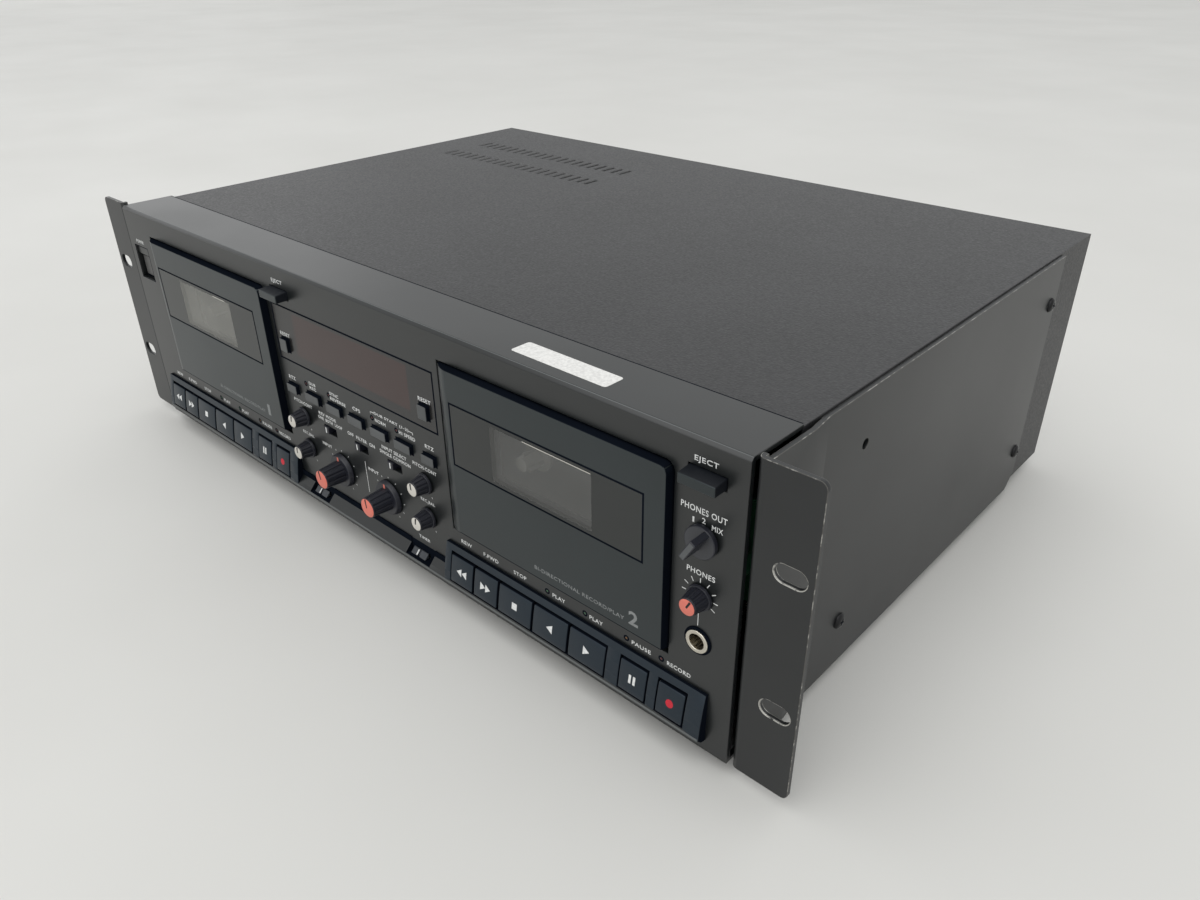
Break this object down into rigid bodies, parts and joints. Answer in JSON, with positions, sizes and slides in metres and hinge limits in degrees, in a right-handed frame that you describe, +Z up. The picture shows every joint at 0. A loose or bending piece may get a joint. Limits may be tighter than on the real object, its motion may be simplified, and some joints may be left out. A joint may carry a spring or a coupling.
{
  "type": "rack-mount double cassette deck",
  "caption": "Rack-mount double cassette deck: hinged cassette doors, curved key ledge, centre control section with knobs, buttons and slides, slotted rack ears and a textured steel case.",
  "frame": {"origin": "on the floor under the middle of the part's box", "axes": "the front panel faces -Y, +X runs to the right seen from the front, +Z is up"},
  "size_m": [0.4826, 0.3262, 0.138],
  "materials": {
    "panel_plastic": "fine satin, nearly black",
    "door_plastic": "fine satin, nearly black",
    "cover_paint": "leather-grain paint, dark grey",
    "bracket_paint": "satin paint, worn at the slots",
    "zinc_steel": "plated",
    "screw_black": "blackened",
    "foot_rubber": "matt",
    "smoked_acrylic": "smoked, gloss",
    "clear_acrylic": "gloss",
    "jack_chrome": "plated",
    "circuit_board": "board lacquer",
    "socket_metal": "plated",
    "button_plastic": "satin",
    "key_plastic": "satin, bluish black",
    "knob_plastic": "satin, bluish black with light caps",
    "reel_plastic": "satin"
  },
  "bodies": {
    "deck": {"front_panel": "panel_plastic", "base_chassis": "zinc_steel", "top_cover": "cover_paint", "rack_bracket_left": "bracket_paint", "rack_bracket_right": "bracket_paint", "screws": "screw_black", "feet": "foot_rubber", "display_window": "smoked_acrylic", "phones_jack": "jack_chrome", "electronics": "circuit_board", "rear_sockets": "socket_metal", "deck_frame_left": "zinc_steel", "deck_frame_right": "zinc_steel"},
    "door_left": {"cassette_door_left": "door_plastic", "door_window_left": "clear_acrylic"},
    "door_right": {"cassette_door_right": "door_plastic", "door_window_right": "clear_acrylic"},
    "eject_left": {"eject_bar_left": "door_plastic"},
    "eject_right": {"eject_bar_right": "door_plastic"},
    "power": {"power_button": "button_plastic"},
    "left_rewind": {"left_rewind_key": "key_plastic"},
    "left_fast_forward": {"left_fast_forward_key": "key_plastic"},
    "left_stop": {"left_stop_key": "key_plastic"},
    "left_reverse_play": {"left_reverse_play_key": "key_plastic"},
    "left_play": {"left_play_key": "key_plastic"},
    "left_pause": {"left_pause_key": "key_plastic"},
    "left_record": {"left_record_key": "key_plastic"},
    "right_rewind": {"right_rewind_key": "key_plastic"},
    "right_fast_forward": {"right_fast_forward_key": "key_plastic"},
    "right_stop": {"right_stop_key": "key_plastic"},
    "right_reverse_play": {"right_reverse_play_key": "key_plastic"},
    "right_play": {"right_play_key": "key_plastic"},
    "right_pause": {"right_pause_key": "key_plastic"},
    "right_record": {"right_record_key": "key_plastic"},
    "pitch_dial_left": {"pitch_knob_left": "knob_plastic"},
    "pitch_dial_right": {"pitch_knob_right": "knob_plastic"},
    "balance_dial_left": {"balance_knob_left": "knob_plastic"},
    "balance_dial_right": {"balance_knob_right": "knob_plastic"},
    "input_dial_left": {"input_knob_left": "knob_plastic"},
    "input_dial_right": {"input_knob_right": "knob_plastic"},
    "phones_dial": {"phones_knob": "knob_plastic"},
    "phones_selector": {"phones_selector": "knob_plastic"},
    "reverse_mode": {"reverse_mode_slide": "button_plastic"},
    "noise_filter": {"noise_filter_slide": "button_plastic"},
    "input_select": {"input_select_slide": "button_plastic"},
    "timer_left": {"timer_slide_left": "button_plastic"},
    "timer_right": {"timer_slide_right": "button_plastic"},
    "counter_reset_left": {"counter_reset_left": "button_plastic"},
    "counter_reset_right": {"counter_reset_right": "button_plastic"},
    "return_zero_left": {"return_zero_left": "button_plastic"},
    "dub_record": {"dub_record_button": "button_plastic"},
    "sync_reverse": {"sync_reverse_button": "button_plastic"},
    "search": {"search_button": "button_plastic"},
    "dub_normal": {"dub_normal_button": "button_plastic"},
    "dub_fast": {"dub_fast_button": "button_plastic"},
    "return_zero_right": {"return_zero_right": "button_plastic"},
    "left_deck_left_spindle": {"left_deck_left_reel": "reel_plastic"},
    "left_deck_right_spindle": {"left_deck_right_reel": "reel_plastic"},
    "right_deck_left_spindle": {"right_deck_left_reel": "reel_plastic"},
    "right_deck_right_spindle": {"right_deck_right_reel": "reel_plastic"}
  },
  "joints": [
    {"name": "door_left_swing", "type": "hinge", "parent": "deck", "child": "door_left", "pos_m": [-0.1264, -0.14635, 0.046], "axis": [1, 0, 0], "range_deg": [0, 32]},
    {"name": "door_right_swing", "type": "hinge", "parent": "deck", "child": "door_right", "pos_m": [0.1264, -0.14635, 0.046], "axis": [1, 0, 0], "range_deg": [0, 32]},
    {"name": "eject_left_press", "type": "slide", "parent": "deck", "child": "eject_left", "axis": [0, 1, 0], "range_m": [0, 0.003], "stiffness_N_per_m": 250},
    {"name": "eject_right_press", "type": "slide", "parent": "deck", "child": "eject_right", "axis": [0, 1, 0], "range_m": [0, 0.003], "stiffness_N_per_m": 250},
    {"name": "power_press", "type": "slide", "parent": "deck", "child": "power", "axis": [0, 1, 0], "range_m": [0, 0.0025], "stiffness_N_per_m": 250},
    {"name": "left_rewind_press", "type": "slide", "parent": "deck", "child": "left_rewind", "axis": [0, 1, 0], "range_m": [0, 0.0015], "stiffness_N_per_m": 250},
    {"name": "left_fast_forward_press", "type": "slide", "parent": "deck", "child": "left_fast_forward", "axis": [0, 1, 0], "range_m": [0, 0.0015], "stiffness_N_per_m": 250},
    {"name": "left_stop_press", "type": "slide", "parent": "deck", "child": "left_stop", "axis": [0, 1, 0], "range_m": [0, 0.0015], "stiffness_N_per_m": 250},
    {"name": "left_reverse_play_press", "type": "slide", "parent": "deck", "child": "left_reverse_play", "axis": [0, 1, 0], "range_m": [0, 0.0015], "stiffness_N_per_m": 250},
    {"name": "left_play_press", "type": "slide", "parent": "deck", "child": "left_play", "axis": [0, 1, 0], "range_m": [0, 0.0015], "stiffness_N_per_m": 250},
    {"name": "left_pause_press", "type": "slide", "parent": "deck", "child": "left_pause", "axis": [0, 1, 0], "range_m": [0, 0.0015], "stiffness_N_per_m": 250},
    {"name": "left_record_press", "type": "slide", "parent": "deck", "child": "left_record", "axis": [0, 1, 0], "range_m": [0, 0.0015], "stiffness_N_per_m": 250},
    {"name": "right_rewind_press", "type": "slide", "parent": "deck", "child": "right_rewind", "axis": [0, 1, 0], "range_m": [0, 0.0015], "stiffness_N_per_m": 250},
    {"name": "right_fast_forward_press", "type": "slide", "parent": "deck", "child": "right_fast_forward", "axis": [0, 1, 0], "range_m": [0, 0.0015], "stiffness_N_per_m": 250},
    {"name": "right_stop_press", "type": "slide", "parent": "deck", "child": "right_stop", "axis": [0, 1, 0], "range_m": [0, 0.0015], "stiffness_N_per_m": 250},
    {"name": "right_reverse_play_press", "type": "slide", "parent": "deck", "child": "right_reverse_play", "axis": [0, 1, 0], "range_m": [0, 0.0015], "stiffness_N_per_m": 250},
    {"name": "right_play_press", "type": "slide", "parent": "deck", "child": "right_play", "axis": [0, 1, 0], "range_m": [0, 0.0015], "stiffness_N_per_m": 250},
    {"name": "right_pause_press", "type": "slide", "parent": "deck", "child": "right_pause", "axis": [0, 1, 0], "range_m": [0, 0.0015], "stiffness_N_per_m": 250},
    {"name": "right_record_press", "type": "slide", "parent": "deck", "child": "right_record", "axis": [0, 1, 0], "range_m": [0, 0.0015], "stiffness_N_per_m": 250},
    {"name": "pitch_knob_left_turn", "type": "hinge", "parent": "deck", "child": "pitch_dial_left", "pos_m": [-0.0485, -0.14935, 0.0592], "axis": [0, 1, 0], "range_deg": [-150, 150]},
    {"name": "pitch_knob_right_turn", "type": "hinge", "parent": "deck", "child": "pitch_dial_right", "pos_m": [0.0485, -0.14935, 0.0592], "axis": [0, 1, 0], "range_deg": [-150, 150]},
    {"name": "balance_knob_left_turn", "type": "hinge", "parent": "deck", "child": "balance_dial_left", "pos_m": [-0.0485, -0.14935, 0.041], "axis": [0, 1, 0], "range_deg": [-150, 150]},
    {"name": "balance_knob_right_turn", "type": "hinge", "parent": "deck", "child": "balance_dial_right", "pos_m": [0.0485, -0.14935, 0.041], "axis": [0, 1, 0], "range_deg": [-150, 150]},
    {"name": "input_knob_left_turn", "type": "hinge", "parent": "deck", "child": "input_dial_left", "pos_m": [-0.019, -0.14935, 0.0395], "axis": [0, 1, 0], "range_deg": [-150, 150]},
    {"name": "input_knob_right_turn", "type": "hinge", "parent": "deck", "child": "input_dial_right", "pos_m": [0.019, -0.14935, 0.0395], "axis": [0, 1, 0], "range_deg": [-150, 150]},
    {"name": "phones_knob_turn", "type": "hinge", "parent": "deck", "child": "phones_dial", "pos_m": [0.2003, -0.14935, 0.0764], "axis": [0, 1, 0], "range_deg": [-150, 150]},
    {"name": "phones_selector_turn", "type": "hinge", "parent": "deck", "child": "phones_selector", "pos_m": [0.2003, -0.14935, 0.1], "axis": [0, 1, 0], "range_deg": [-60, 0]},
    {"name": "reverse_mode_slide", "type": "slide", "parent": "deck", "child": "reverse_mode", "axis": [1, 0, 0], "range_m": [0, 0.005]},
    {"name": "noise_filter_slide", "type": "slide", "parent": "deck", "child": "noise_filter", "axis": [1, 0, 0], "range_m": [0, 0.005]},
    {"name": "input_select_slide", "type": "slide", "parent": "deck", "child": "input_select", "axis": [1, 0, 0], "range_m": [0, 0.005]},
    {"name": "timer_left_slide", "type": "slide", "parent": "deck", "child": "timer_left", "axis": [1, 0, 0], "range_m": [0, 0.0035]},
    {"name": "timer_right_slide", "type": "slide", "parent": "deck", "child": "timer_right", "axis": [1, 0, 0], "range_m": [0, 0.0035]},
    {"name": "counter_reset_left_press", "type": "slide", "parent": "deck", "child": "counter_reset_left", "axis": [0, 1, 0], "range_m": [0, 0.001], "stiffness_N_per_m": 200},
    {"name": "counter_reset_right_press", "type": "slide", "parent": "deck", "child": "counter_reset_right", "axis": [0, 1, 0], "range_m": [0, 0.001], "stiffness_N_per_m": 200},
    {"name": "return_zero_left_press", "type": "slide", "parent": "deck", "child": "return_zero_left", "axis": [0, 1, 0], "range_m": [0, 0.001], "stiffness_N_per_m": 200},
    {"name": "dub_record_press", "type": "slide", "parent": "deck", "child": "dub_record", "axis": [0, 1, 0], "range_m": [0, 0.001], "stiffness_N_per_m": 200},
    {"name": "sync_reverse_press", "type": "slide", "parent": "deck", "child": "sync_reverse", "axis": [0, 1, 0], "range_m": [0, 0.001], "stiffness_N_per_m": 200},
    {"name": "search_press", "type": "slide", "parent": "deck", "child": "search", "axis": [0, 1, 0], "range_m": [0, 0.001], "stiffness_N_per_m": 200},
    {"name": "dub_normal_press", "type": "slide", "parent": "deck", "child": "dub_normal", "axis": [0, 1, 0], "range_m": [0, 0.001], "stiffness_N_per_m": 200},
    {"name": "dub_fast_press", "type": "slide", "parent": "deck", "child": "dub_fast", "axis": [0, 1, 0], "range_m": [0, 0.001], "stiffness_N_per_m": 200},
    {"name": "return_zero_right_press", "type": "slide", "parent": "deck", "child": "return_zero_right", "axis": [0, 1, 0], "range_m": [0, 0.001], "stiffness_N_per_m": 200},
    {"name": "left_deck_left_reel_spin", "type": "hinge", "parent": "deck", "child": "left_deck_left_spindle", "pos_m": [-0.14765, -0.13235, 0.088], "axis": [0, 1, 0], "continuous": true},
    {"name": "left_deck_right_reel_spin", "type": "hinge", "parent": "deck", "child": "left_deck_right_spindle", "pos_m": [-0.10515, -0.13235, 0.088], "axis": [0, 1, 0], "continuous": true},
    {"name": "right_deck_left_reel_spin", "type": "hinge", "parent": "deck", "child": "right_deck_left_spindle", "pos_m": [0.10515, -0.13235, 0.088], "axis": [0, 1, 0], "continuous": true},
    {"name": "right_deck_right_reel_spin", "type": "hinge", "parent": "deck", "child": "right_deck_right_spindle", "pos_m": [0.14765, -0.13235, 0.088], "axis": [0, 1, 0], "continuous": true}
  ]
}
